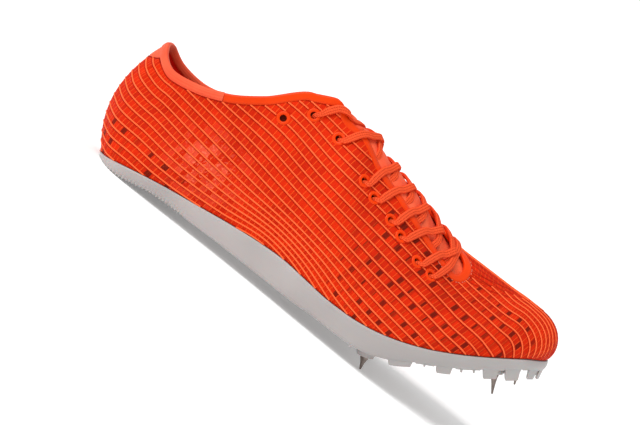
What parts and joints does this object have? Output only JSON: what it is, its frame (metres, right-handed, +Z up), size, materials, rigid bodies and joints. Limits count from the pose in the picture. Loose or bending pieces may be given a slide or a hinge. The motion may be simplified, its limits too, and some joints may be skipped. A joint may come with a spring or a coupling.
{
  "type": "track spike shoe",
  "caption": "Low-cut sprint running spike for the right foot: thin laced upper on a stiff curved plate with lugs and pins under the forefoot.",
  "frame": {"origin": "on the floor under the middle of the shoe's own box, laces' knot and ends left out", "axes": "+X from the heel to the toe, +Y to the inner side of the foot, +Z up from the floor"},
  "size_m": [0.2806, 0.0916, 0.112],
  "materials": {
    "upper": "thin translucent ripstop cloth with raised ribs, vivid orange-red",
    "tongue": "soft thin cloth, pinkish orange",
    "lace": "flat woven lace",
    "plate": "moulded warm white plastic, satin",
    "pin": "dark turned steel",
    "insole": "thin foam board faced with cloth, deep orange-red"
  },
  "bodies": {
    "root": {"upper": "upper", "tongue": "tongue", "sole_plate": "plate", "insole": "insole", "pin_rear_outer": "pin", "pin_rear_inner": "pin", "pin_front_outer": "pin", "pin_front_inner": "pin", "lace_cross_1": "lace", "lace_cross_2": "lace", "lace_cross_3": "lace", "lace_cross_4": "lace", "lace_cross_5": "lace", "lace_cross_6": "lace", "lace_cross_7": "lace", "lace_bar": "lace", "lace_knot": "lace", "lace_end_outer": "lace", "lace_end_inner": "lace"}
  },
  "joints": []
}
